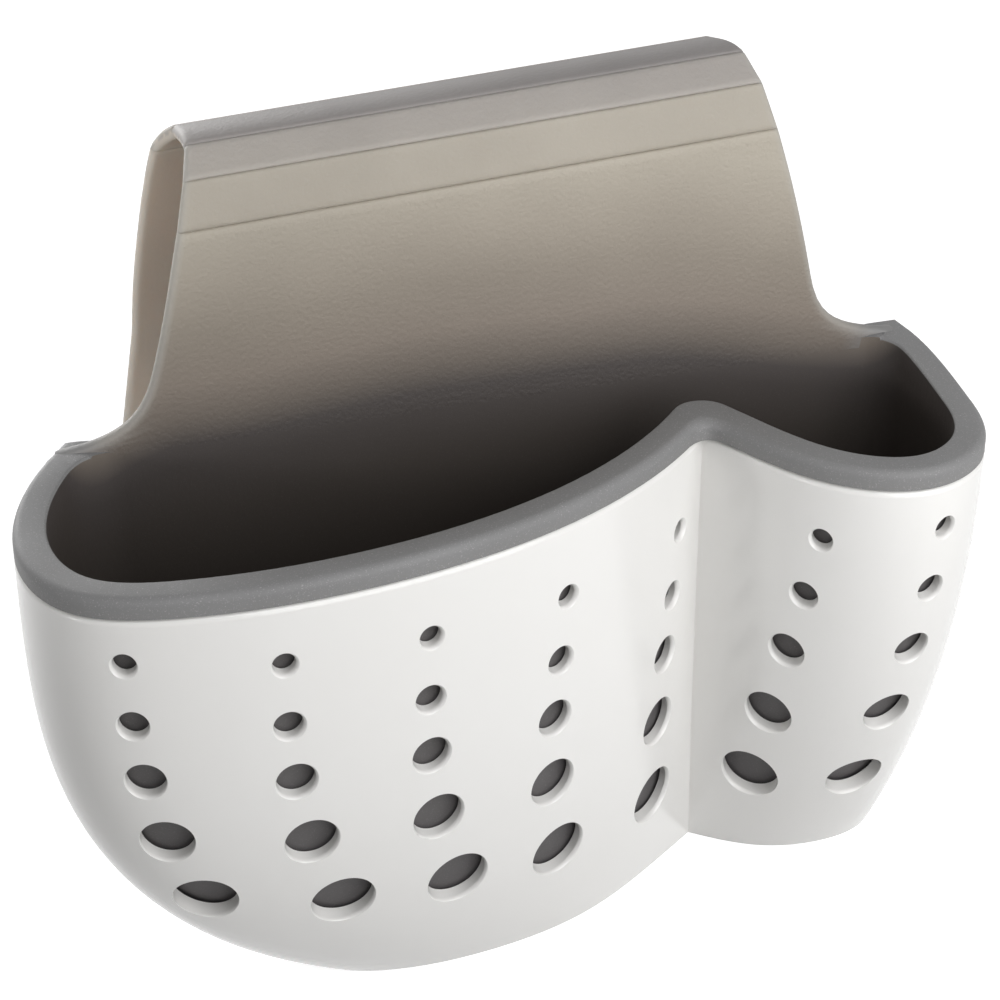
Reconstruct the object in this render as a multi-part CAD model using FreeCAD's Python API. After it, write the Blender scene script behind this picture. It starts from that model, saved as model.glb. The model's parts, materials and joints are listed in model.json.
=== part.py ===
import FreeCAD, Part
import math
import os

# Sponge holder: a rigid two-lobed shell, a rubber liner that drops into it,
# and the liner's saddle, which folds over a sink divider behind the cup.
# Millimetres. +X runs along the flat back, +Y towards the back, +Z up.
# The origin is on the foot, at mid width and at half the foot's depth.

# Cup
cup_width = 184.0
cup_depth = 59.0
shell_height = 100.0
foot_middle = 20.0
shell_wall = 2.5
shell_floor = 2.5
shell_edge_round = 1.2

# Crease between the lobes: its place along X and its depth from the flat back
crease_x = 39.7
crease_depth = 23.0
crease_foot_x = 43.4
crease_foot_depth = 15.6

# Liner and its rim bead
liner_gap = 0.5
liner_wall = 3.0
liner_floor = 3.0
bead_seat_gap = 0.3
bead_height = 4.0
bead_outer_round = 1.7

# Saddle: a panel, two strips, a crown, a strip and a flap, joined at living hinges
saddle_x = 3.5
panel_height = 45.0
panel_top_width = 113.0
panel_foot_round = 14.0
panel_lip = 0.5
strip_thickness = 2.6
lower_strip_length = 8.7
upper_strip_length = 6.2
crown_span = 11.4
crown_rise = 1.3
flap_length = 96.0
flap_foot_width = 142.0
flap_corner_round = 14.0
hinge_gap = 0.4

# Holes in the shell's wall, row by row from the top, and the drains in both floors
hole_diameters = [4.2, 5.4, 7.2, 9.8, 12.0]
hole_mouth_round = 1.2
liner_drain_bore = 5.0
shell_drain_bore = 8.0

# One length by which every cutting solid passes the face that it leaves by
overrun = 5.0

# Angles in degrees
lower_strip_lean = 11.0
upper_strip_lean = 46.0
flap_lean = 6.0
panel_flare = 15.0
bore_lead = 7.0

# Rim outline of each lobe: shares of the way from the crease to the lobe's far end,
# and of the cup's depth from the flat back. The first big point and the last small one
# lie behind the back, which cuts the outline off.
big_lobe_shares = [
    (0.843, -0.170),
    (0.892, 0.000),
    (0.965, 0.260),
    (0.996, 0.560),
    (0.948, 0.859),
    (0.804, 0.985),
    (0.575, 0.988),
    (0.315, 0.855),
    (0.113, 0.615),
]
small_lobe_shares = [
    (0.156, 0.655),
    (0.367, 0.865),
    (0.631, 0.935),
    (0.877, 0.815),
    (0.991, 0.500),
    (0.986, 0.200),
    (0.958, 0.000),
    (0.930, -0.170),
]

# Foot of each lobe as shares of its rim, measured from the crease and from the back,
# and how late the wall swings in towards the foot
big_foot_width_share = 0.639
big_foot_depth_share = 0.686
big_swell = 3.34
small_foot_width_share = 0.879
small_foot_depth_share = 0.479
small_swell = 2.0
crease_swell = 2.8

# Heights of the sections that the walls are drawn through
level_shares = [0.0, 0.06, 0.14, 0.26, 0.42, 0.62, 0.82, 1.0]

# Hole rows: each row's height at the crease, and its rise towards the lobe's far end,
# as shares of the shell's height
big_row_shares = [0.835, 0.700, 0.573, 0.418, 0.225]
big_row_rise_shares = [0.075, 0.085, 0.090, 0.100, 0.130]
small_row_shares = [0.844, 0.710, 0.569, 0.392, 0.220]
small_row_rise_shares = [0.090, 0.088, 0.080, 0.085, 0.040]

# Hole columns: shares of each lobe's outline at the top row and at the bottom row,
# and shares of the rise of a row away from the crease
big_column_shares = [(0.376, 0.386), (0.508, 0.508), (0.643, 0.630), (0.788, 0.752), (0.956, 0.910)]
big_column_rise_shares = [1.0, 0.62, 0.45, 0.2, 0.0]
small_column_shares = [(0.231, 0.150), (0.425, 0.385)]
small_column_rise_shares = [0.36, 0.7]

# How far a hole's rounded mouth starts outside the wall, as a share of its round,
# and how much of the wall's turn away from straight ahead its bore follows
mouth_lift_share = 0.2
bore_turn_share = 0.45

# Drains of each lobe: shares of the way from the crease to the lobe's far end, and of the cup's depth
big_drain_shares = [
    (0.511, 0.20),
    (0.378, 0.20),
    (0.225, 0.20),
    (0.092, 0.20),
    (0.511, 0.46),
    (0.378, 0.46),
    (0.225, 0.46),
]
small_drain_shares = [
    (0.332, 0.17),
    (0.578, 0.17),
]

# Sizes that follow
half_width = cup_width / 2
big_reach = -half_width - crease_x
small_reach = half_width - crease_x
back_y = foot_middle
bead_bottom = shell_height + bead_seat_gap
bead_top = bead_bottom + bead_height
liner_outset = shell_wall + liner_gap
liner_inset = liner_outset + liner_wall
liner_bottom = shell_floor + liner_gap
liner_inside = liner_bottom + liner_floor


def lobe_points(shares, reach, width_share, depth_share, swell, height_share):
    # A lobe's outline at one height of the wall
    drop = (1 - height_share) ** swell
    points = []
    for wide, deep in shares:
        x = crease_x + reach * wide * (1 - (1 - width_share) * drop)
        depth = deep * cup_depth * (1 - (1 - depth_share) * drop)
        points.append(FreeCAD.Vector(x, back_y - depth, 0))
    return points


def crease_point(height_share):
    drop = (1 - height_share) ** crease_swell
    x = crease_x + (crease_foot_x - crease_x) * drop
    depth = crease_depth + (crease_foot_depth - crease_depth) * drop
    return FreeCAD.Vector(x, back_y - depth, 0)


def spline(points):
    curve = Part.BSplineCurve()
    curve.interpolate(points)
    return curve


def inward(curve, parameter):
    # The outline runs anticlockwise, so its inside lies to the left
    along = curve.tangent(parameter)[0]
    return FreeCAD.Vector(-along.y, along.x, 0)


def inset_curve(points, inset):
    curve = spline(points)
    if inset == 0:
        return curve
    return spline([p + inward(curve, curve.parameter(p)) * inset for p in points])


def lobe_curves(height_share, inset):
    crease = crease_point(height_share)
    big = lobe_points(big_lobe_shares, big_reach, big_foot_width_share, big_foot_depth_share,
                      big_swell, height_share)
    small = lobe_points(small_lobe_shares, small_reach, small_foot_width_share, small_foot_depth_share,
                        small_swell, height_share)
    return inset_curve(big + [crease], inset), inset_curve([crease] + small, inset), crease


def parameter_at_back(curve, y, outside, inside):
    # Halve the stretch between a parameter behind the back and one in front of it
    for step in range(40):
        middle = (outside + inside) / 2
        if curve.value(middle).y > y:
            outside = middle
        else:
            inside = middle
    return inside


def section(z, height_share, inset):
    # One closed outline of the cup: big lobe, crease, small lobe, and a line just behind the back
    big, small, crease = lobe_curves(height_share, inset)
    y = back_y - inset + overrun / 2
    big_middle = (big.FirstParameter + big.LastParameter) / 2
    small_middle = (small.FirstParameter + small.LastParameter) / 2
    start = parameter_at_back(big, y, big.FirstParameter, big_middle)
    end = parameter_at_back(small, y, small.LastParameter, small_middle)
    edges = [big.toShape(start, big.LastParameter)]
    if inset > 0:
        first = big.value(big.LastParameter)
        last = small.value(small.FirstParameter)
        middle = (first + last) * 0.5 - crease
        middle = crease + middle.normalize() * inset
        edges.append(Part.Arc(first, middle, last).toShape())
    edges.append(small.toShape(small.FirstParameter, end))
    edges.append(Part.makeLine(small.value(end), big.value(start)))
    wire = Part.Wire(edges)
    wire.translate(FreeCAD.Vector(0, 0, z))
    return wire


def flat_backed(solid, inset):
    # What lies behind the flat back is cut off
    corner = FreeCAD.Vector(-cup_width, back_y - inset, -shell_height)
    return solid.cut(Part.makeBox(2 * cup_width, cup_depth, 3 * shell_height, corner))


def cup_loft(bottom, inset):
    # The space inside the wall at one inset, from a floor level up to the rim
    wires = []
    for share in level_shares:
        z = bottom + (shell_height - bottom) * share
        wires.append(section(z, share, inset))
    return Part.makeLoft(wires, True, False)


def cup_solid(bottom, inset):
    return flat_backed(cup_loft(bottom, inset), inset)


def rim_prism(z, height, inset):
    face = Part.Face(section(z, 1, inset))
    return flat_backed(face.extrude(FreeCAD.Vector(0, 0, height)), inset)


def top_face(solid):
    return max(solid.Faces, key=lambda face: face.CenterOfMass.z)


def wall_frame(lobe, share, height):
    # A point of the shell's outside at one height, and the wall's outward direction there
    def place(z):
        curve = lobe_curves(z / shell_height, 0)[lobe]
        parameter = curve.FirstParameter + share * (curve.LastParameter - curve.FirstParameter)
        return curve, parameter, curve.value(parameter) + FreeCAD.Vector(0, 0, z)

    curve, parameter, point = place(height)
    along = curve.tangent(parameter)[0]
    upward = place(height + shell_wall)[2] - point
    return point, along.cross(upward).normalize()


def bore_direction(outward):
    # The bores fan out less than the wall does, and lean to the big lobe's side
    turn = math.atan2(outward.x, -outward.y) * bore_turn_share - math.radians(bore_lead)
    level = math.hypot(outward.x, outward.y)
    return FreeCAD.Vector(level * math.sin(turn), -level * math.cos(turn), outward.z)


def hole_cutter(point, outward, diameter):
    # A rounded mouth, turned about the wall's outward direction, and a slanting bore behind it
    radius = diameter / 2
    mouth = radius + hole_mouth_round
    corner = hole_mouth_round * (1 - math.sqrt(0.5))
    profile = Part.Wire([
        Part.makeLine((0, 0, -hole_mouth_round), (radius, 0, -hole_mouth_round)),
        Part.Arc(FreeCAD.Vector(radius, 0, -hole_mouth_round),
                 FreeCAD.Vector(radius + corner, 0, -corner),
                 FreeCAD.Vector(mouth, 0, 0)).toShape(),
        Part.makeLine((mouth, 0, 0), (mouth, 0, overrun)),
        Part.makeLine((mouth, 0, overrun), (0, 0, overrun)),
        Part.makeLine((0, 0, overrun), (0, 0, -hole_mouth_round)),
    ])
    flare = Part.Face(profile).revolve(FreeCAD.Vector(), FreeCAD.Vector(0, 0, 1), 360)
    lifted = point + outward * (hole_mouth_round * mouth_lift_share)
    flare.Placement = FreeCAD.Placement(lifted, FreeCAD.Rotation(FreeCAD.Vector(0, 0, 1), outward))
    throat = Part.makeCircle(radius, lifted - outward * hole_mouth_round, outward)
    bore = Part.Face(Part.Wire(throat)).extrude(bore_direction(outward) * -(shell_wall + overrun))
    return flare.fuse(bore)


def wall_holes():
    lobes = [
        (0, big_column_shares, big_column_rise_shares, big_row_shares, big_row_rise_shares),
        (1, small_column_shares, small_column_rise_shares, small_row_shares, small_row_rise_shares),
    ]
    cutters = []
    last_row = len(hole_diameters) - 1
    for lobe, columns, column_rises, rows, row_rises in lobes:
        for (top_share, bottom_share), column_rise in zip(columns, column_rises):
            for row, diameter in enumerate(hole_diameters):
                share = top_share + (bottom_share - top_share) * row / last_row
                height = shell_height * (rows[row] + row_rises[row] * column_rise)
                point, outward = wall_frame(lobe, share, height)
                cutters.append(hole_cutter(point, outward, diameter))
    return cutters


def drains(bore, top):
    cutters = []
    for reach, shares in ((big_reach, big_drain_shares), (small_reach, small_drain_shares)):
        for wide, deep in shares:
            place = FreeCAD.Vector(crease_x + reach * wide, back_y - deep * cup_depth, -overrun)
            cutters.append(Part.makeCylinder(bore / 2, top + 2 * overrun, place))
    return cutters


def rounded_cup():
    # The lobes' rim is rounded before the flat back is cut, and the back's own edge after it
    cup = cup_loft(0, 0)
    cup = flat_backed(cup.makeFillet(shell_edge_round, top_face(cup).Edges), 0)
    back_edges = [e for e in top_face(cup).Edges if e.BoundBox.YMin > back_y - shell_edge_round]
    return cup.makeFillet(shell_edge_round, back_edges)


def outer_shell():
    shell = rounded_cup()
    inside = cup_solid(shell_floor, shell_wall)
    shell = shell.cut(inside.fuse(rim_prism(shell_height, overrun, shell_wall)))
    for cutter in wall_holes() + drains(shell_drain_bore, shell_floor):
        shell = shell.cut(cutter)
    return shell


def liner_cup():
    liner = cup_solid(liner_bottom, liner_outset)
    liner = liner.fuse(rim_prism(shell_height, bead_seat_gap, liner_outset))
    inside = cup_solid(liner_inside, liner_inset)
    liner = liner.cut(inside.fuse(rim_prism(shell_height, overrun, liner_inset)))
    return liner.cut(drains(liner_drain_bore, liner_inside)).removeSplitter()


def rim_bead():
    bead = rim_prism(bead_bottom, bead_height, 0)
    bead = bead.makeFillet(bead_outer_round, top_face(bead).Edges)
    return bead.cut(rim_prism(bead_bottom - overrun, bead_height + 2 * overrun, liner_inset))


def leaning(degrees):
    # A direction in the plane of the fold, turned back from upright
    angle = math.radians(degrees)
    return FreeCAD.Vector(0, math.sin(angle), math.cos(angle))


def outer_side(direction):
    return FreeCAD.Vector(0, -direction.z, direction.y)


def end_corners(hinge, before, after, into):
    # Outer and inner corner of a strip's end, mitred between the two strips at a hinge
    middle = (before + after).normalize()
    reach = outer_side(middle) * (strip_thickness / 2 / middle.dot(before))
    end = hinge + into * (hinge_gap / 2)
    return end + reach, end - reach


def across(corners, half):
    outer, inner = corners
    side = FreeCAD.Vector(half, 0, 0)
    return Part.makePolygon([outer - side, outer + side, inner + side, inner - side, outer - side])


def fold_half_width(distance):
    # Half the saddle's width at a distance along the fold from the lower groove
    return panel_top_width / 2 - distance * math.tan(math.radians(panel_flare))


def front_panel():
    # A trapezoid whose flanks run out into the rim along hollow arcs
    flare = math.radians(panel_flare)
    start = panel_foot_round * (1 - math.sin(flare))
    flank = fold_half_width(start - panel_height)
    centre = flank + panel_foot_round * math.cos(flare)
    tip_angle = math.acos(1 - panel_lip / panel_foot_round)
    half_angle = (math.pi / 2 - flare - tip_angle) / 2

    def point(side, x, height):
        return FreeCAD.Vector(saddle_x + side * x, panel_front, bead_top + height)

    def on_arc(side, angle):
        x = centre - panel_foot_round * math.cos(flare + angle)
        return point(side, x, panel_foot_round * (1 - math.sin(flare + angle)))

    top = panel_height - hinge_gap / 2
    edges = []
    for side in (-1, 1):
        tip = on_arc(side, 2 * half_angle)
        foot = FreeCAD.Vector(tip.x, tip.y, bead_top)
        shoulder = point(side, fold_half_width(-hinge_gap / 2), top)
        edges.append(Part.makeLine(foot, tip))
        edges.append(Part.Arc(tip, on_arc(side, half_angle), on_arc(side, 0)).toShape())
        edges.append(Part.makeLine(on_arc(side, 0), shoulder))
        if side < 0:
            left_foot, left_shoulder = foot, shoulder
    edges.append(Part.makeLine(left_shoulder, shoulder))
    edges.append(Part.makeLine(left_foot, foot))
    face = Part.Face(Part.Wire(Part.__sortEdges__(edges)))
    return face.extrude(FreeCAD.Vector(0, liner_wall, 0))


def strip(start, end, start_half, end_half):
    return Part.makeLoft([across(start, start_half), across(end, end_half)], True, True)


def crown_strip():
    # An arched strip over the top of the fold
    top = (crown_front + crown_back) * 0.5 + FreeCAD.Vector(0, 0, crown_rise)
    half = FreeCAD.Vector(0, 0, strip_thickness / 2)
    first = end_corners(crown_front, upper_lean, crown_rising, crown_rising)
    last = end_corners(crown_back, crown_falling, rear_lean, -crown_falling)
    profile = Part.Wire([
        Part.Arc(first[0], top + half, last[0]).toShape(),
        Part.makeLine(last[0], last[1]),
        Part.Arc(last[1], top - half, first[1]).toShape(),
        Part.makeLine(first[1], first[0]),
    ])
    crown = Part.Face(profile).extrude(FreeCAD.Vector(2 * crown_half, 0, 0))
    crown.translate(FreeCAD.Vector(-crown_half, 0, 0))
    return crown


def rear_flap():
    # A leaning plate, cut to a trapezoid with rounded lower corners
    half = flap_foot_width / 2
    outer, inner = end_corners(flap_hinge, rear_lean, flap_fall, flap_fall)
    tip = flap_hinge + flap_fall * flap_length
    side = outer_side(flap_fall) * (strip_thickness / 2)
    profile = Part.makePolygon([outer, tip + side, tip - side, inner, outer])
    plate = Part.Face(profile).extrude(FreeCAD.Vector(2 * half, 0, 0))
    plate.translate(FreeCAD.Vector(-half, 0, 0))
    slope = (half - rear_half) / (flap_hinge.z - tip.z)
    high = flap_hinge.z + overrun
    corners = [
        (half, (tip - side).z),
        (-half, (tip - side).z),
        (-rear_half + slope * overrun, high),
        (rear_half - slope * overrun, high),
    ]
    points = [FreeCAD.Vector(saddle_x + x, back_y, z) for x, z in corners]
    cutter = Part.Face(Part.makePolygon(points + points[:1])).extrude(FreeCAD.Vector(0, cup_depth, 0))
    lower = [e for e in cutter.Edges if e.BoundBox.YLength > overrun and e.CenterOfMass.z < bead_top]
    return plate.common(cutter.makeFillet(flap_corner_round, lower))


# Fold line of the saddle, at half its thickness
panel_front = back_y - liner_inset
lower_lean = leaning(lower_strip_lean)
upper_lean = leaning(upper_strip_lean)
rear_lean = leaning(180 - upper_strip_lean)
flap_fall = leaning(180 - flap_lean)
crown_slope = math.degrees(2 * math.atan(2 * crown_rise / crown_span))
crown_rising = leaning(90 - crown_slope)
crown_falling = leaning(90 + crown_slope)
lower_hinge = FreeCAD.Vector(saddle_x, panel_front + liner_wall / 2, bead_top + panel_height)
upper_hinge = lower_hinge + lower_lean * lower_strip_length
crown_front = upper_hinge + upper_lean * upper_strip_length
crown_back = crown_front + FreeCAD.Vector(0, crown_span, 0)
flap_hinge = crown_back + rear_lean * upper_strip_length
upper_half = fold_half_width(lower_strip_length)
crown_half = fold_half_width(lower_strip_length + upper_strip_length)
rear_half = panel_top_width / 2

front_lower_strip = strip(
    end_corners(lower_hinge, leaning(0), lower_lean, lower_lean),
    end_corners(upper_hinge, lower_lean, upper_lean, -lower_lean),
    fold_half_width(0),
    upper_half,
)
front_upper_strip = strip(
    end_corners(upper_hinge, lower_lean, upper_lean, upper_lean),
    end_corners(crown_front, upper_lean, crown_rising, -upper_lean),
    upper_half,
    crown_half,
)
rear_strip = strip(
    end_corners(crown_back, crown_falling, rear_lean, rear_lean),
    end_corners(flap_hinge, rear_lean, flap_fall, -rear_lean),
    crown_half,
    rear_half,
)

nodes = {
    "outer_shell": outer_shell(),
    "liner_cup": liner_cup(),
    "rim_bead": rim_bead(),
    "front_panel": front_panel(),
    "front_lower_strip": front_lower_strip,
    "front_upper_strip": front_upper_strip,
    "crown_strip": crown_strip(),
    "rear_strip": rear_strip,
    "rear_flap": rear_flap(),
}

os.makedirs("parts", exist_ok=True)
for name, shape in nodes.items():
    print(name, len(shape.Solids), shape.isValid(), round(shape.Volume))
    shape.exportStep("parts/" + name + ".step")
for name, hinge in (("lower", lower_hinge), ("upper", upper_hinge), ("crown front", crown_front),
                    ("crown back", crown_back), ("flap", flap_hinge)):
    print(name, "hinge at y", round(hinge.y, 3), "z", round(hinge.z, 3))
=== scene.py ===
import bpy
import bmesh
import json
import math
from mathutils import Matrix, Vector
from mathutils.geometry import intersect_point_line


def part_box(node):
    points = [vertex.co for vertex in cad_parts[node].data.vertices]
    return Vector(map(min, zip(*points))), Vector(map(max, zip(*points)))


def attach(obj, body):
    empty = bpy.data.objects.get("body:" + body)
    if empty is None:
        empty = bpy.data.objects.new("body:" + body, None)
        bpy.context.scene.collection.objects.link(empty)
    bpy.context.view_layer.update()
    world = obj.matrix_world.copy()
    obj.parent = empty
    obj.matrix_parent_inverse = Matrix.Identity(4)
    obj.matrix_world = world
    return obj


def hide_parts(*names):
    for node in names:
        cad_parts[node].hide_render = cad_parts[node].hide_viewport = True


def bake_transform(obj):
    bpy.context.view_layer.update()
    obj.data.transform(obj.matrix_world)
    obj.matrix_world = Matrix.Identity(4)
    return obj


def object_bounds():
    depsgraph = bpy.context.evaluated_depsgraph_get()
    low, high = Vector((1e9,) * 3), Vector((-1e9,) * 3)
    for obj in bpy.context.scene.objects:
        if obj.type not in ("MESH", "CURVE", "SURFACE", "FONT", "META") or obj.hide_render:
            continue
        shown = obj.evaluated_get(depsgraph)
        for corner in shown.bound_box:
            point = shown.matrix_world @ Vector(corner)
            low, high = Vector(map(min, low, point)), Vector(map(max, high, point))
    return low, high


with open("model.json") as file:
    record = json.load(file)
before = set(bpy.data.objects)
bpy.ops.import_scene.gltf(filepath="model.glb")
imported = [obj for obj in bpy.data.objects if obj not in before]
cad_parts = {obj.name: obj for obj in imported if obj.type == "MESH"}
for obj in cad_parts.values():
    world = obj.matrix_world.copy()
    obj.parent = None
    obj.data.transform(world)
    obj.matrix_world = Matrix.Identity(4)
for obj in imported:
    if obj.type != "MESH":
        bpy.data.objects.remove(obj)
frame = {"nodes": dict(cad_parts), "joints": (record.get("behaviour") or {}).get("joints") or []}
cadLow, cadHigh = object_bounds()
nodes = frame["nodes"]
scene = bpy.context.scene
hingeAt = {j["name"]: Vector(j["pos_m"]) for j in frame["joints"] if j["type"] == "hinge"}
print("frame loaded,", len(nodes), "CAD nodes")


def easeShare(value):
    value = min(max(value, 0.0), 1.0)
    return value * value * (3 - 2 * value)


def easeBetween(value, low, high):
    return easeShare((value - low) / (high - low))


# node helpers for the finishes

def newFinish(name):
    finish = bpy.data.materials.new(name)
    finish.use_nodes = True
    tree = finish.node_tree
    return finish, tree, tree.nodes["Principled BSDF"]


def addNode(tree, kind, **sockets):
    node = tree.nodes.new(kind)
    for key, value in sockets.items():
        node.inputs[key.replace("_", " ")].default_value = value
    return node


def objectPlace(tree):
    return tree.nodes.new("ShaderNodeTexCoord").outputs["Object"]


def axisOf(tree, place, axis):
    split = tree.nodes.new("ShaderNodeSeparateXYZ")
    tree.links.new(place, split.inputs[0])
    return split.outputs[axis]


def grainNoise(tree, place, scale, detail=2.0):
    noise = addNode(tree, "ShaderNodeTexNoise", Scale=scale, Detail=detail)
    tree.links.new(place, noise.inputs["Vector"])
    return noise.outputs["Fac"]


def spread(tree, value, low, high, toLow=0.0, toHigh=1.0, soft=False):
    # clamped remap, eased at both ends when soft
    node = addNode(tree, "ShaderNodeMapRange", From_Min=low, From_Max=high, To_Min=toLow, To_Max=toHigh)
    node.interpolation_type = "SMOOTHSTEP" if soft else "LINEAR"
    tree.links.new(value, node.inputs["Value"])
    return node.outputs["Result"]


def combine(tree, operation, first, second):
    node = tree.nodes.new("ShaderNodeMath")
    node.operation = operation
    tree.links.new(first, node.inputs[0])
    tree.links.new(second, node.inputs[1])
    return node.outputs[0]


def twoTone(tree, factor, first, second):
    # each end is a colour or another node's output
    mix = tree.nodes.new("ShaderNodeMix")
    mix.data_type = "RGBA"
    tree.links.new(factor, mix.inputs[0])
    for socket, tone in ((mix.inputs[6], first), (mix.inputs[7], second)):
        if isinstance(tone, tuple):
            socket.default_value = (*tone, 1.0)
        else:
            tree.links.new(tone, socket)
    return mix.outputs[2]


def heightRamp(tree, height, stops):
    # colours at heights in metres
    low, high = stops[0][0], stops[-1][0]
    ramp = tree.nodes.new("ShaderNodeValToRGB")
    ramp.color_ramp.interpolation = "EASE" if len(stops) == 2 else "LINEAR"
    marks = ramp.color_ramp.elements
    while len(marks) < len(stops):
        marks.new(0.5)
    for mark, (z, tone) in zip(marks, stops):
        mark.position = (z - low) / (high - low)
        mark.color = (*tone, 1.0)
    tree.links.new(spread(tree, height, low, high), ramp.inputs[0])
    return ramp.outputs[0]


def ownShare(tree, name, most):
    # a vertex attribute from none to most
    near = tree.nodes.new("ShaderNodeAttribute")
    near.attribute_name = name
    return spread(tree, near.outputs["Fac"], 0.0, 1.0, 0.0, most)


def addBump(tree, shader, height, strength, distance):
    bump = addNode(tree, "ShaderNodeBump", Strength=strength, Distance=distance)
    tree.links.new(height, bump.inputs["Height"])
    tree.links.new(bump.outputs["Normal"], shader.inputs["Normal"])


# glossy white moulding of the outer cup

shellLook = {
    "tone": (0.83, 0.825, 0.812),
    "warmTone": (0.81, 0.80, 0.78),
    "cloudScale": 22.0,
    "cloudDetail": 3.0,
    "cloudRange": (0.3, 0.7),
    "gloss": (0.16, 0.22),
    "specular": 0.5,
    "peelScale": 700.0,
    "peelStrength": 0.3,
    "peelDepth": 0.000006,
}


def whiteMoulding():
    finish, tree, shader = newFinish("whiteMoulding")
    place = objectPlace(tree)
    cloud = grainNoise(tree, place, shellLook["cloudScale"], shellLook["cloudDetail"])
    toned = twoTone(tree, cloud, shellLook["tone"], shellLook["warmTone"])
    gloss = spread(tree, cloud, *shellLook["cloudRange"], *shellLook["gloss"])
    peel = grainNoise(tree, place, shellLook["peelScale"])
    tree.links.new(toned, shader.inputs["Base Color"])
    tree.links.new(gloss, shader.inputs["Roughness"])
    shader.inputs["Specular IOR Level"].default_value = shellLook["specular"]
    addBump(tree, shader, peel, shellLook["peelStrength"], shellLook["peelDepth"])
    return finish


# matte rubber: cool grey on the rim, warm on the thin saddle; painted shade makes it near black in the cup and at
# the panel's foot, painted light makes the saddle paler towards its top

rubberLook = {
    "rimTones": [(0.098, (0.215, 0.213, 0.211)), (0.1043, (0.222, 0.222, 0.224))],
    "backTones": [(0.0, (0.095, 0.09, 0.092)), (0.104, (0.105, 0.10, 0.10))],
    # painted shade: near black in the cup and a dark band at the panel's foot; painted light: paler up the panel
    "paintedShadeLightTones": [
        (0.02, (0.036, 0.029, 0.025)), (0.07, (0.041, 0.034, 0.029)), (0.0945, (0.052, 0.044, 0.039)),
        (0.1043, (0.058, 0.050, 0.047)), (0.1085, (0.072, 0.063, 0.060)), (0.114, (0.165, 0.141, 0.121)),
        (0.121, (0.255, 0.218, 0.184)), (0.131, (0.287, 0.252, 0.210)), (0.141, (0.365, 0.326, 0.273)),
        (0.151, (0.435, 0.396, 0.333))],
    "lowerTones": [(0.146, (0.415, 0.377, 0.320)), (0.161, (0.415, 0.381, 0.326))],
    # painted shade: the upper strip darkens towards the crown, and the crown is a darker shaded copy of the saddle
    # rubber
    "upperShadingTones": [(0.154, (0.420, 0.389, 0.353)), (0.166, (0.393, 0.367, 0.345))],
    "crownShadeTones": [(0.158, (0.305, 0.285, 0.274)), (0.168, (0.274, 0.259, 0.254))],
    "flapTones": [(0.06, (0.40, 0.362, 0.318)), (0.158, (0.44, 0.40, 0.36))],
    # painted light on the faces inside the fold's gap
    "gapPaintedLight": (0.74, 0.66, 0.57),
    "cloudTone": (0.041, 0.034, 0.029),
    "fleckTone": (0.55, 0.54, 0.53),
    # painted highlight along the plates' edges
    "edgeHighlightTone": (0.46, 0.455, 0.43),
    "tipTone": (0.222, 0.222, 0.224),
    "shadeFall": [(-0.005, -0.055, 0.004), (-0.055, -0.085, 0.010), (0.030, 0.085, 0.009)],
    "shadeDepth": (0.006, 0.0135),
    "cloudScale": 30.0,
    "cloudDetail": 4.0,
    "cloudRange": (0.3, 0.7),
    "cloudShare": 0.12,
    "fleckScale": 3800.0,
    "fleckDetail": 1.0,
    "fleckRange": (0.6, 0.8),
    "peelScale": 1150.0,
    "peelDetail": 2.5,
    "peelStrength": 0.6,
    "roughness": (0.52, 0.64),
    "specular": 0.35,
    "softRadius": (1.0, 0.85, 0.72),
    "softScale": 0.003,
}
rubberKinds = {
    "rimRubber": {"tones": "rimTones", "peel": 0.00004, "fleck": 0.4},
    "backRubber": {"tones": "backTones", "peel": 0.00004, "fleck": 0.1},
    # the cup's inside gets painted shade, the panel painted shade at its foot and painted light above it
    "insideShadeRubber": {"tones": "paintedShadeLightTones", "peel": 0.00006, "fleck": 0.03, "fall": True},
    "panelShadeLightRubber": {"tones": "paintedShadeLightTones", "peel": 0.00026, "fleck": 0.05, "fall": True, "edge": 0.5, "tip": 0.9},
    "lowerRubber": {"tones": "lowerTones", "peel": 0.0002, "fleck": 0.08, "soft": 0.15, "edge": 0.5},
    "upperShadingRubber": {"tones": "upperShadingTones", "peel": 0.0002, "fleck": 0.08, "soft": 0.15, "edge": 0.5},
    "crownShadeRubber": {"tones": "crownShadeTones", "peel": 0.0002, "fleck": 0.08, "soft": 0.15, "edge": 0.15, "gap": 0.7},
    "flapRubber": {"tones": "flapTones", "peel": 0.00006, "fleck": 0.08, "soft": 0.4, "edge": 0.4, "gap": 1.0},
}


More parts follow.
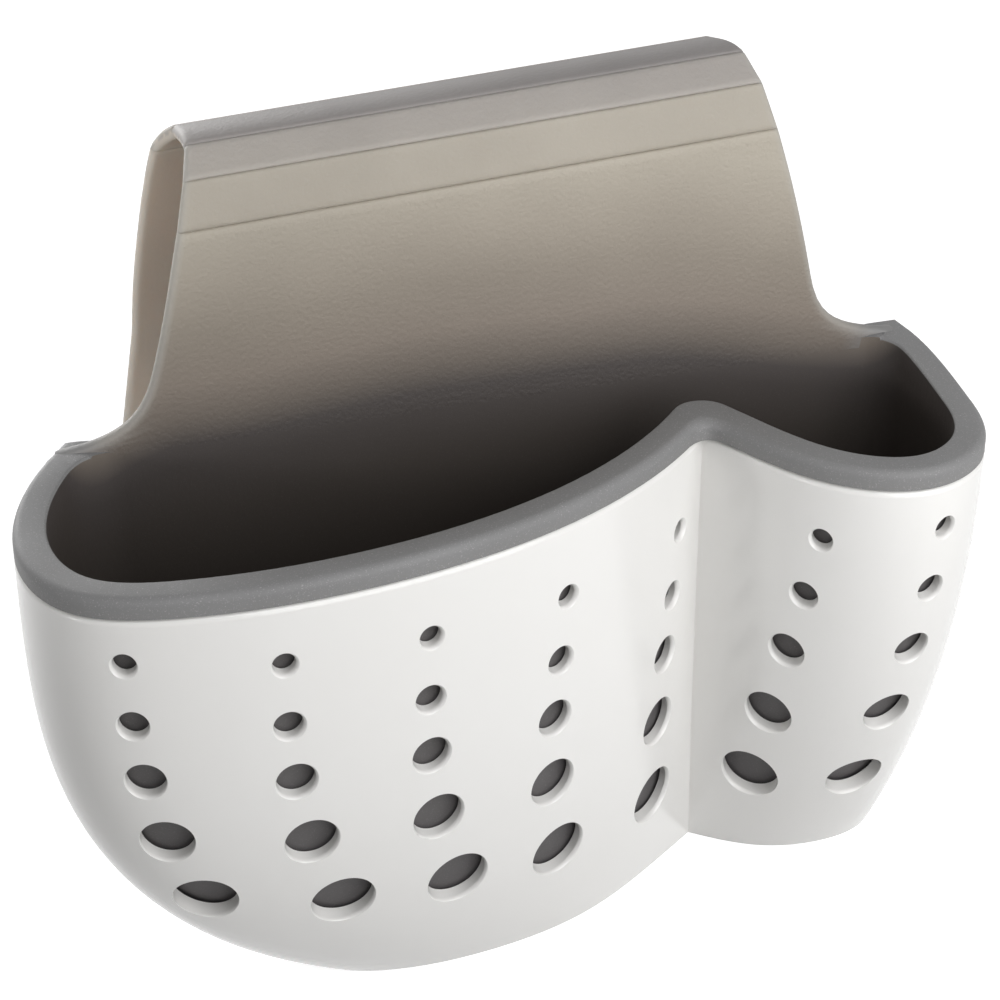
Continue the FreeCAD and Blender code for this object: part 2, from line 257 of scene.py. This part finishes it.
def rubberFinish(name, tones, peel, fleck, soft=0.0, fall=False, edge=0.0, gap=0.0, tip=0.0):
    finish, tree, shader = newFinish(name)
    place = objectPlace(tree)
    height = axisOf(tree, place, 2)
    if fall:
        # the shaded foot of the panel sinks towards both ends, along the flat back only
        onBack = spread(tree, axisOf(tree, place, 1), *rubberLook["shadeDepth"])
        for start, end, drop in rubberLook["shadeFall"]:
            sunk = spread(tree, axisOf(tree, place, 0), start, end, 0.0, drop, True)
            height = combine(tree, "ADD", height, combine(tree, "MULTIPLY", onBack, sunk))
    toned = heightRamp(tree, height, rubberLook[tones])
    if gap:
        # painted light on the side facing into the fold's gap
        toned = twoTone(tree, ownShare(tree, "gapSide", gap), toned, rubberLook["gapPaintedLight"])
    cloud = grainNoise(tree, place, rubberLook["cloudScale"], rubberLook["cloudDetail"])
    clouded = spread(tree, cloud, *rubberLook["cloudRange"], 0.0, rubberLook["cloudShare"])
    toned = twoTone(tree, clouded, toned, rubberLook["cloudTone"])
    speck = grainNoise(tree, place, rubberLook["fleckScale"], rubberLook["fleckDetail"])
    flecked = spread(tree, speck, *rubberLook["fleckRange"], 0.0, fleck)
    toned = twoTone(tree, flecked, toned, rubberLook["fleckTone"])
    if edge:
        # painted highlight along the edges
        toned = twoTone(tree, ownShare(tree, "edgeHighlightShare", edge), toned, rubberLook["edgeHighlightTone"])
    if tip:
        toned = twoTone(tree, ownShare(tree, "nearTip", tip), toned, rubberLook["tipTone"])
    rough = spread(tree, cloud, *rubberLook["cloudRange"], *rubberLook["roughness"])
    tree.links.new(toned, shader.inputs["Base Color"])
    tree.links.new(rough, shader.inputs["Roughness"])
    shader.inputs["Specular IOR Level"].default_value = rubberLook["specular"]
    shader.inputs["Subsurface Weight"].default_value = soft
    shader.inputs["Subsurface Radius"].default_value = rubberLook["softRadius"]
    shader.inputs["Subsurface Scale"].default_value = rubberLook["softScale"]
    grain = grainNoise(tree, place, rubberLook["peelScale"], rubberLook["peelDetail"])
    addBump(tree, shader, grain, rubberLook["peelStrength"], peel)
    return finish


whiteShell = whiteMoulding()
rubber = {name: rubberFinish(name, **kind) for name, kind in rubberKinds.items()}
print("finishes made")


def placePiece(bm, name, sharpDegrees, *finishes):
    mesh = bpy.data.meshes.new(name)
    for finish in finishes:
        mesh.materials.append(finish)
    bm.to_mesh(mesh)
    bm.free()
    if "custom_normal" in mesh.attributes:
        mesh.attributes.remove(mesh.attributes["custom_normal"])
    mesh.shade_smooth()
    mesh.set_sharp_from_angle(angle=math.radians(sharpDegrees))
    piece = bpy.data.objects.new(name, mesh)
    scene.collection.objects.link(piece)
    return piece


nodes["outer_shell"].data.materials.clear()
nodes["outer_shell"].data.materials.append(whiteShell)


# liner cup and rim bead: the CAD forms, painted shade inside and grey outside, with softened corners

liner = {
    "weld": 0.000003,
    "sharpDegrees": 35,
    "cutTolerance": 0.0000001,
    # the rounded inner edge of the rim
    "rimRound": 0.0020,
    "rimSteps": 5,
    "rimTurn": 1.2,
    "rimLevel": 0.00002,
    "rimFront": 0.00005,
    # the rim's climb at its back corners
    "cornerLift": {"left": 0.0016, "right": 0.0027},
    "liftAcross": (0.066, 0.080),
    "liftAlong": (-0.012, 0.014),
    "liftCuts": (0.066, 0.069, 0.072, 0.075, 0.078, 0.081),
    "clearReach": 0.0012,
    "clearShare": 0.2,
    "clearEdge": 0.0001,
    # the filled upright corners, each between two x positions and with its reach
    "backCorners": [(-0.090, -0.020, 0.0070), (0.070, 0.090, 0.0060)],
    "crease": (0.030, 0.050, 0.0040),
    "cornerTall": 0.002,
    "cornerTurn": 0.7,
    "wallDepth": 0.0016,
    "rimDepth": 0.0030,
    "beadDepth": 0.0045,
    "fillCuts": 9,
    "fillHeights": (0.045, 0.075),
    # what counts as inside
    "levelNormal": 0.7,
    "uprightNormal": 0.3,
    "floorHeight": 0.05,
    "middleLine": [(-0.080, -0.005), (-0.025, -0.008), (0.020, 0.005), (0.040, 0.009), (0.066, 0.0), (0.080, 0.0)],
}
panelLow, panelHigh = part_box("front_panel")
beadLow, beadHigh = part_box("rim_bead")
beadTop = beadHigh.z
midX = hingeAt["lower_groove"].x


def weldedCopy(node):
    bm = bmesh.new()
    bm.from_mesh(nodes[node].data)
    bmesh.ops.remove_doubles(bm, verts=bm.verts, dist=liner["weld"])
    bm.normal_update()
    return bm


def facesInside(face):
    # true where a face looks towards the middle line of the cup
    spot = face.calc_center_median()
    if abs(face.normal.z) > liner["levelNormal"]:
        return face.normal.z > 0 and spot.z < liner["floorHeight"]
    ends = [Vector(end) for end in liner["middleLine"]]
    nearest = []
    for first, last in zip(ends, ends[1:]):
        share = intersect_point_line(spot.xy, first, last)[1]
        nearest.append(first.lerp(last, min(max(share, 0.0), 1.0)))
    best = min(nearest, key=lambda mark: (mark - spot.xy).length)
    return (best - spot.xy).dot(face.normal.xy) > 0


def cutAcross(bm, parts, spot, normal):
    bmesh.ops.bisect_plane(bm, geom=parts, dist=liner["cutTolerance"], plane_co=spot, plane_no=normal)


def fillCorner(bm, low, high, reach, depth):
    # rounds the re-entrant upright corner between two x positions, as far as the reach to each side
    line = [e for e in bm.edges if len(e.link_faces) == 2 and low < e.verts[0].co.x < high
            and abs(e.verts[0].co.z - e.verts[1].co.z) > liner["cornerTall"]
            and e.calc_face_angle_signed(0.0) < -liner["cornerTurn"]]
    longest = max(line, key=lambda e: e.calc_length())
    first, second = [f.normal.xy.normalized() for f in longest.link_faces]
    inward = (first + second).normalized()
    aside = Vector((-inward.y, inward.x))
    slope = math.tan(first.angle(second) / 2)
    marks = sorted({(v.co.z, v.co.x, v.co.y) for e in line for v in e.verts})

    def cornerAt(z):
        for below, above in zip(marks, marks[1:]):
            if z <= above[0]:
                share = max((z - below[0]) / (above[0] - below[0]), 0.0)
                return Vector(below[1:]).lerp(Vector(above[1:]), share)
        return Vector(marks[-1][1:])

    def placed(point):
        out = point.xy - cornerAt(point.z)
        return abs(out.dot(aside)), out.dot(inward)

    def around():
        wide = 2 * reach
        near = {v for v in bm.verts
                if low - wide < v.co.x < high + wide and max(map(abs, placed(v.co))) < wide}
        return [f for f in bm.faces if not near.isdisjoint(f.verts)]

    topCorner = cornerAt(marks[-1][0])
    for step in range(-liner["fillCuts"], liner["fillCuts"] + 1):
        spot = topCorner + aside * (reach * step / liner["fillCuts"])
        faces = around()
        parts = {e for f in faces for e in f.edges} | {v for f in faces for v in f.verts} | set(faces)
        cutAcross(bm, list(parts), (*spot, 0), (*aside, 0))
    bmesh.ops.triangulate(bm, faces=[f for f in around() if len(f.verts) > 4])
    for vert in bm.verts:
        off, out = placed(vert.co)
        if off < reach and -depth < out - slope * off < liner["wallDepth"]:
            filled = slope * (reach - off) ** 2 / (2 * reach) * easeBetween(vert.co.z, *liner["fillHeights"])
            vert.co += Vector((*inward, 0)) * filled
    bm.normal_update()


def rubberCup():
    bm = weldedCopy("liner_cup")
    for low, high, reach in liner["backCorners"]:
        fillCorner(bm, low, high, reach, liner["wallDepth"])
    # faces looking into the cup get the painted shade finish
    for face in bm.faces:
        face.material_index = 1 if facesInside(face) else 0
    return placePiece(bm, "liner_cup_rubber", liner["sharpDegrees"], rubber["backRubber"], rubber["insideShadeRubber"])


def cornerLift(point):
    # the rim climbs a little towards both back corners, where the panel's foot runs out on it
    out = point.x - midX
    across = easeBetween(abs(out), *liner["liftAcross"])
    along = easeBetween(point.y, *liner["liftAlong"])
    tall = min(max((point.z - beadLow.z) / (beadTop - beadLow.z), 0.0), 1.0)
    return liner["cornerLift"]["right" if out > 0 else "left"] * across * along * tall


def rubberRim():
    bm = weldedCopy("rim_bead")
    edges = [e for e in bm.edges if len(e.link_faces) == 2 and e.calc_face_angle(0.0) > liner["rimTurn"]
             and min(v.co.z for v in e.verts) > beadTop - liner["rimLevel"]
             and min(v.co.y for v in e.verts) < panelLow.y - liner["rimFront"]]
    bmesh.ops.bevel(bm, geom=edges, offset=liner["rimRound"], offset_type="OFFSET", affect="EDGES",
                    segments=liner["rimSteps"], profile=0.5, material=-1, clamp_overlap=True)
    bm.normal_update()
    for low, high, reach in liner["backCorners"]:
        fillCorner(bm, low, high, reach, liner["rimDepth"])
    fillCorner(bm, *liner["crease"], liner["beadDepth"])
    for out in liner["liftCuts"]:
        for x in (midX - out, midX + out):
            cutAcross(bm, bm.verts[:] + bm.edges[:] + bm.faces[:], (x, 0, 0), (1, 0, 0))
    bm.normal_update()
    # upright faces looking into the cup get the painted shade finish
    for face in bm.faces:
        upright = abs(face.normal.z) < liner["uprightNormal"]
        face.material_index = 1 if upright and facesInside(face) else 0
    for vert in bm.verts:
        lift = cornerLift(vert.co)
        if vert.co.y < panelLow.y + liner["clearEdge"]:
            # clear of the panel's run-out, which lies in front
            behind = easeShare((vert.co.y - panelLow.y) / liner["clearReach"] + 1)
            vert.co.y += liner["clearShare"] * lift * behind
        vert.co.z += lift
    return placePiece(bm, "rim_bead_rubber", liner["sharpDegrees"], rubber["rimRubber"], rubber["insideShadeRubber"])


for piece, node in ((rubberCup(), "liner_cup"), (rubberRim(), "rim_bead")):
    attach(piece, "liner")
    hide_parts(node)
print("liner cup and rim done")


# rubber saddle: plates that meet at moulded grooves

saddle = {
    "thickness": 0.0026,
    "grooveDepth": 0.00045,
    "grooveLip": 0.0006,
    "grooveMid": (0.35, 0.4),
    "edgeRound": 0.0010,
    "edgeInsets": (0.0, 0.00007, 0.00025, 0.00055, 0.0010, 0.0016, 0.0026),
    "edgeGlow": 0.0018,
    "tipStart": 0.0725,
    "tipReach": 0.007,
    "columns": 48,
    "weld": 0.000002,
    "sharpDegrees": 50,
    "tiltDegrees": 3.2,
    "slip": (-0.0011, 0.0002),
    "spread": 0.012,
    "backDrop": 0.0012,
    "bendLength": 0.0032,
}
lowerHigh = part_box("front_lower_strip")[1]
crownLow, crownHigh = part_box("crown_strip")
rearLow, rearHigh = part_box("rear_strip")
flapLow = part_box("rear_flap")[0]
lowerSeam, upperSeam = hingeAt["lower_groove"], hingeAt["upper_groove"]
crownFront, crownBack = hingeAt["crown_front_groove"], hingeAt["crown_back_groove"]
flapSeam = hingeAt["flap_hinge"]


def askew(point, share=1.0, hang=False):
    # the soft saddle sits askew: turned in its own plane about the lower groove, slipped and spread a little
    turn = math.radians(saddle["tiltDegrees"]) * share
    out, up = (point.x - midX) * (1 + saddle["spread"] * share), point.z - lowerSeam.z
    swing = max(up, 0.0) if hang else up
    up -= saddle["backDrop"] * share * easeBetween(point.y, crownFront.y, crownBack.y)
    return Vector((midX + out * math.cos(turn) - swing * math.sin(turn) + saddle["slip"][0] * share,
                   point.y,
                   lowerSeam.z + up + out * math.sin(turn) + saddle["slip"][1] * share))


def onFold(point):
    return askew(point)


def onPanel(point):
    # no turn at the rim, all of it at the lower groove
    return askew(point, easeBetween(point.z, beadTop, lowerSeam.z))


def onFlap(point):
    # hangs straight again towards its foot
    return askew(point, easeBetween(point.z, flapLow.z, flapSeam.z), True)


# runs along a plate's middle: a length, and the place and heading at a distance along it

def outwardOf(along):
    return Vector((0, -along.z, along.y))


def straightRun(first, last):
    along = (last - first).normalized()
    return (last - first).length, lambda s: (first + along * s, along)


def archedRun(first, last, rise):
    along = (last - first).normalized()
    half = (last - first).length / 2
    radius = (half * half + rise * rise) / (2 * rise)
    sweep = math.asin(half / radius)
    centre = (first + last) / 2 + outwardOf(along) * (rise - radius)

    def at(s):
        turn = s / radius - sweep
        return (centre + (outwardOf(along) * math.cos(turn) + along * math.sin(turn)) * radius,
                along * math.cos(turn) - outwardOf(along) * math.sin(turn))
    return 2 * sweep * radius, at


def bulgedRun(first, last, slope, reach):
    # a straight fall that starts off outwards and settles within the reach
    along = (last - first).normalized()

    def at(s):
        left = max(1 - s / reach, 0.0)
        out = slope * s * left * left
        lean = slope * left * left - 2 * slope * s * left / reach
        return (first + along * s + outwardOf(along) * out, (along + outwardOf(along) * lean).normalized())
    return (last - first).length, at


def bendAt(before, after):
    return before[1](before[0])[1].angle(after[1](0.0)[1])


def grooveRows(length, steps, startGroove=True, endGroove=True):
    # rows along a plate, each with the share of the thickness that it keeps
    lip = saddle["grooveLip"]
    dip = saddle["grooveDepth"] / (saddle["thickness"] / 2)
    midLip, midDip = lip * saddle["grooveMid"][0], dip * saddle["grooveMid"][1]
    rows = [(0.0, 1.0)]
    tail = [(length, 1.0)]
    if startGroove:
        rows = [(0.0, 1 - dip), (midLip, 1 - midDip), (lip, 1.0)]
    if endGroove:
        tail = [(length - lip, 1.0), (length - midLip, 1 - midDip), (length, 1 - dip)]
    first, last = rows[-1][0], tail[0][0]
    rows += [(first + (last - first) * k / steps, 1.0) for k in range(1, steps)]
    return rows + tail


def roundShare(distance):
    # share of the thickness left at a distance inside the outline
    inside = min(max(distance / saddle["edgeRound"], 0.0), 1.0)
    return math.sqrt(1 - (1 - inside) ** 2)


def softPlate(name, run, rows, bends, outline, finish, settle, thickness=None):
    # two grids, front and back, that close along a rounded outline
    length, at = run
    halfWidth, inside = outline
    half = (thickness or saddle["thickness"]) / 2
    insets = saddle["edgeInsets"]
    columns = saddle["columns"]
    slopes = (-math.tan(bends[0] / 2), math.tan(bends[1] / 2))
    bm = bmesh.new()
    glow = bm.verts.layers.float.new("edgeHighlightShare")
    gap = bm.verts.layers.float.new("gapSide")
    tip = bm.verts.layers.float.new("nearTip")
    for side in (1, -1):
        grid = bmesh.ops.create_grid(bm, x_segments=columns, y_segments=len(rows) - 1, size=0.5)
        for vert in grid["verts"]:
            column = round((vert.co.x + 0.5) * columns)
            along, keep = rows[round((vert.co.y + 0.5) * (len(rows) - 1))]
            edge = min(column, columns - column)
            widest = halfWidth(along, column > columns / 2)
            if edge < len(insets):
                reach = widest - insets[edge]
            else:
                share = abs(column - columns / 2) / (columns / 2 - len(insets) + 1)
                reach = share * (widest - insets[-1])
            x = math.copysign(reach, column - columns / 2)
            depth = inside(x, along)
            offset = half * keep * roundShare(depth)
            shear = slopes[0] + (slopes[1] - slopes[0]) * min(max(along / length, 0), 1)
            point, ahead = at(along + side * offset * shear)
            vert.co = settle(point + outwardOf(ahead) * (side * offset) + Vector((x, 0, 0)))
            # painted highlight near the outline
            vert[glow] = 1 - easeShare(depth / saddle["edgeGlow"])
            # the back grid faces into the fold's gap, where it gets painted light
            vert[gap] = 0.0 if side > 0 else 1.0
            vert[tip] = easeShare((abs(x) - saddle["tipStart"]) / saddle["tipReach"])
    bmesh.ops.remove_doubles(bm, verts=bm.verts, dist=saddle["weld"])
    bmesh.ops.holes_fill(bm, edges=[e for e in bm.edges if e.is_boundary], sides=0)
    bmesh.ops.recalc_face_normals(bm, faces=bm.faces)
    piece = placePiece(bm, name, saddle["sharpDegrees"], finish)
    return piece


# front panel, standing on the rim with flanks that run out sideways over its corners

panel = {
    "flareDegrees": 15.0,
    "runOutTop": 0.016,
    "runOut": {"left": (0.000055, 0.0010), "right": (0.00007, 0.0001)},
    "runOutLeast": 0.0005,
    "widest": 0.0833,
    "slopeStep": 0.00005,
    "footRows": (0.0, 0.0008, 0.0016, 0.0022, 0.0027, 0.0030, 0.0033, 0.0037, 0.0042, 0.0048, 0.0055, 0.0064,
                 0.0075, 0.0090, 0.0110, 0.0135),
    "rows": 20,
}
flare = math.radians(panel["flareDegrees"])
topHalf = lowerHigh.x - midX
panelTall = lowerSeam.z - beadTop


def panelHalf(height, right):
    strength, ease = panel["runOut"]["right" if right else "left"]
    top = panel["runOutTop"] + ease
    low = max(min(height, panel["runOutTop"]) + ease, panel["runOutLeast"])
    runOut = strength * (1 / low - 1 / top + (low - top) / top ** 2)
    return min(topHalf + (panelTall - height) * math.tan(flare) + runOut, panel["widest"])


def panelInside(x, height):
    step = panel["slopeStep"]
    slope = (panelHalf(height - step, x > 0) - panelHalf(height + step, x > 0)) / (2 * step)
    return (panelHalf(height, x > 0) - abs(x)) / math.hypot(1, slope)


# pairs of values below are for the left and the right half
fold = {
    "rows": 10,
    "crownRise": 0.0006,
    "crownRows": 18,
    "rearRise": 0.00055,
    "backNarrow": (0.0004, 0.002),
}
flap = {
    "leanDegrees": 6.0,
    "length": 0.096,
    "footWidth": 0.142,
    "cornerRound": 0.014,
    "rows": 40,
    "startSlope": 0.30,
    "bulgeReach": 0.018,
    "narrowReach": 0.012,
    "belly": (0.00085, 0.0),
    "bellyReach": 0.040,
    "footInsets": (0.0, 0.00007, 0.00025, 0.00055, 0.0010, 0.002, 0.0035, 0.0055, 0.008, 0.011),
}
lean = math.radians(flap["leanDegrees"])
flapFoot = flapSeam + Vector((0, math.sin(lean), -math.cos(lean))) * flap["length"]

panelRun = straightRun(Vector((midX, lowerSeam.y, beadTop)), lowerSeam)
lowerRun = straightRun(lowerSeam, upperSeam)
upperRun = straightRun(upperSeam, crownFront)
crownRun = archedRun(crownFront, crownBack, fold["crownRise"])
rearRun = archedRun(crownBack, flapSeam, fold["rearRise"])
flapRun = bulgedRun(flapSeam, flapFoot, flap["startSlope"], flap["bulgeReach"])
runs = [panelRun, lowerRun, upperRun, crownRun, rearRun, flapRun]
bends = [0.0] + [bendAt(before, after) for before, after in zip(runs, runs[1:])] + [0.0]

panelRows = [(height, 1.0) for height in panel["footRows"]]
panelRows += [(along + panel["runOutTop"], keep)
              for along, keep in grooveRows(panelTall - panel["runOutTop"], panel["rows"], False, True)]
frontPanel = softPlate("front_panel_rubber", panelRun, panelRows, bends[0:2], (panelHalf, panelInside),
                       rubber["panelShadeLightRubber"], onPanel, panelHigh.y - panelLow.y)
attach(frontPanel, "liner")
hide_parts("front_panel")
print("front panel done")


# strips and crown of the fold

def taper(startHalf, endHalf, length):
    # each end has a left and a right half
    def halfWidth(along, right):
        return startHalf[right] + (endHalf[right] - startHalf[right]) * along / length

    def inside(x, along):
        return halfWidth(along, x > 0) - abs(x)
    return halfWidth, inside


def foldStrip(name, node, place, startHalf, endHalf, steps, finish):
    run = runs[place]
    piece = softPlate(name, run, grooveRows(run[0], steps), bends[place:place + 2],
                      taper(startHalf, endHalf, run[0]), finish, onFold)
    start, ahead = run[1](0.0)
    onFold(start)
    onFold(start + ahead * saddle["bendLength"])
    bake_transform(piece)
    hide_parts(node)


crownHalf = (crownHigh.x - crownLow.x) / 2
rearFull = (rearHigh.x - rearLow.x) / 2
rearEnd = tuple(rearFull - narrow for narrow in fold["backNarrow"])
upperHalf = topHalf - (topHalf - crownHalf) * lowerRun[0] / (lowerRun[0] + upperRun[0])
crownEnd = (crownHalf, crownHalf - fold["backNarrow"][1])
foldStrip("front_lower_strip_rubber", "front_lower_strip", 1, (topHalf, topHalf), (upperHalf, upperHalf),
          fold["rows"], rubber["lowerRubber"])
foldStrip("front_upper_strip_rubber", "front_upper_strip", 2, (upperHalf, upperHalf), (crownHalf, crownHalf),
          fold["rows"], rubber["upperShadingRubber"])
foldStrip("crown_strip_rubber", "crown_strip", 3, (crownHalf, crownHalf), crownEnd,
          fold["crownRows"], rubber["crownShadeRubber"])
foldStrip("rear_strip_rubber", "rear_strip", 4, crownEnd, rearEnd,
          fold["rows"], rubber["flapRubber"])
print("fold strips done")


# flap behind, with rounded lower corners

def flapSide(along, right):
    straight = rearFull + (flap["footWidth"] / 2 - rearFull) * along / flap["length"]
    share = min(along / flap["bellyReach"], 1.0)
    belly = flap["belly"][right] * 4 * share * (1 - share)
    return straight + belly - fold["backNarrow"][right] * (1 - easeShare(along / flap["narrowReach"]))


def flapHalf(along, right):
    left = flap["length"] - along
    corner = flap["cornerRound"]
    if left >= corner:
        return flapSide(along, right)
    return flapSide(along, right) - corner + math.sqrt(max(corner ** 2 - (corner - left) ** 2, 0.0))


def flapInside(x, along):
    left = flap["length"] - along
    corner = flap["cornerRound"]
    aside = flapSide(along, x > 0) - abs(x)
    if left < corner and aside < corner:
        return corner - math.hypot(corner - left, corner - aside)
    return min(left, aside)


flapRows = grooveRows(flap["length"] - flap["cornerRound"], flap["rows"], True, False)
flapRows += [(flap["length"] - inset, 1.0) for inset in reversed(flap["footInsets"])]
rearFlap = softPlate("rear_flap_rubber", flapRun, flapRows, bends[5:7], (flapHalf, flapInside),
                     rubber["flapRubber"], onFlap)
bendEnd = flapRun[1](saddle["bendLength"])[0]
onFold(flapSeam)
onFold(bendEnd)
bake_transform(rearFlap)
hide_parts("rear_flap")
print("flap done")


# studio: pale floor, white surround, soft lamps

studio = {
    "floorSize": 4.0,
    "floorDrop": 0.0002,
    "floorTone": (0.47, 0.47, 0.47),
    "floorRough": 0.9,
    "floorSpecular": 0.1,
    "floorGlow": 0.85,
    "worldStrength": 0.19,
    "worldTone": (1.0, 0.99, 0.975),
    "whiteTone": (1.0, 1.0, 1.0),
}
lamps = {
    "keySoftbox": {"place": (0.14, -0.29, 0.24), "aim": (0.05, 0.0, 0.07), "size": (0.36, 0.36), "power": 1.32},
    "leftStrip": {"place": (-0.80, 0.10, 0.30), "aim": (-0.05, 0.0, 0.06), "size": (0.10, 0.9), "power": 0.25},
    "gapGlow": {"place": (-0.70, -0.20, 0.24), "aim": (-0.05, 0.035, 0.145), "size": (0.10, 0.10), "power": 0.02,
                "fanDegrees": 16},
    "backSoftbox": {"place": (-0.35, 1.10, 0.45), "aim": (0.0, 0.03, 0.10), "size": (0.9, 0.7), "power": 10.0},
}


def seenRays(tree):
    # one for rays that see the surround directly, in a reflection or through something clear
    ray = tree.nodes.new("ShaderNodeLightPath")
    both = combine(tree, "ADD", ray.outputs["Is Camera Ray"], ray.outputs["Is Glossy Ray"])
    return combine(tree, "ADD", both, ray.outputs["Is Transmission Ray"])


def paleFloor():
    bm = bmesh.new()
    lower = Matrix.Translation((0, 0, cadLow.z - studio["floorDrop"]))
    bmesh.ops.create_grid(bm, x_segments=4, y_segments=4, size=studio["floorSize"] / 2)
    bmesh.ops.transform(bm, matrix=lower, verts=bm.verts)
    mesh = bpy.data.meshes.new("paleFloor")
    bm.to_mesh(mesh)
    bm.free()
    floor = bpy.data.objects.new("paleFloor", mesh)
    scene.collection.objects.link(floor)
    finish, tree, shader = newFinish("paleFloor")
    shader.inputs["Base Color"].default_value = (*studio["floorTone"], 1.0)
    shader.inputs["Roughness"].default_value = studio["floorRough"]
    shader.inputs["Specular IOR Level"].default_value = studio["floorSpecular"]
    glow = tree.nodes.new("ShaderNodeEmission")
    seen = spread(tree, seenRays(tree), 0.0, 1.0, 0.0, studio["floorGlow"])
    tree.links.new(seen, glow.inputs["Strength"])
    both = tree.nodes.new("ShaderNodeAddShader")
    tree.links.new(shader.outputs[0], both.inputs[0])
    tree.links.new(glow.outputs[0], both.inputs[1])
    tree.links.new(both.outputs[0], tree.nodes["Material Output"].inputs["Surface"])
    mesh.materials.append(finish)


def whiteSurround():
    world = bpy.data.worlds.new("whiteSurround")
    world.use_nodes = True
    tree = world.node_tree
    soft = tree.nodes["Background"]
    soft.inputs["Color"].default_value = (*studio["worldTone"], 1.0)
    soft.inputs["Strength"].default_value = studio["worldStrength"]
    white = addNode(tree, "ShaderNodeBackground", Strength=1.0)
    white.inputs["Color"].default_value = (*studio["whiteTone"], 1.0)
    mix = tree.nodes.new("ShaderNodeMixShader")
    tree.links.new(seenRays(tree), mix.inputs[0])
    tree.links.new(soft.outputs[0], mix.inputs[1])
    tree.links.new(white.outputs[0], mix.inputs[2])
    tree.links.new(mix.outputs[0], tree.nodes["World Output"].inputs["Surface"])
    scene.world = world


def softLamp(name, place, aim, size, power, fanDegrees=180):
    lamp = bpy.data.lights.new(name, "AREA")
    lamp.shape = "RECTANGLE"
    lamp.size, lamp.size_y = size
    lamp.energy = power
    lamp.spread = math.radians(fanDegrees)
    holder = bpy.data.objects.new(name, lamp)
    holder.location = place
    holder.rotation_euler = (Vector(aim) - Vector(place)).to_track_quat("-Z", "Y").to_euler()
    holder.visible_camera = False
    scene.collection.objects.link(holder)


paleFloor()
whiteSurround()
for name, settings in lamps.items():
    softLamp(name, **settings)
print("studio lit")


# camera at the photograph's place

view = {
    "aim": (-0.004335, -0.015334, 0.100),
    "azimuth": 17.2624,
    "elevation": 30.0,
    "distance": 0.476,
    "lens": 94.56,
    "sensor": 36.0,
    "clip": (0.01, 20.0),
}


def photoCamera():
    lens = bpy.data.cameras.new("photoCamera")
    lens.lens = view["lens"]
    lens.sensor_width = view["sensor"]
    lens.clip_start, lens.clip_end = view["clip"]
    holder = bpy.data.objects.new("photoCamera", lens)
    turn, rise = math.radians(view["azimuth"]), math.radians(view["elevation"])
    back = Vector((-math.sin(turn) * math.cos(rise), -math.cos(turn) * math.cos(rise), math.sin(rise)))
    holder.location = Vector(view["aim"]) + back * view["distance"]
    holder.rotation_euler = (-back).to_track_quat("-Z", "Y").to_euler()
    scene.collection.objects.link(holder)
    scene.camera = holder


photoCamera()
scene.view_settings.view_transform = "Standard"
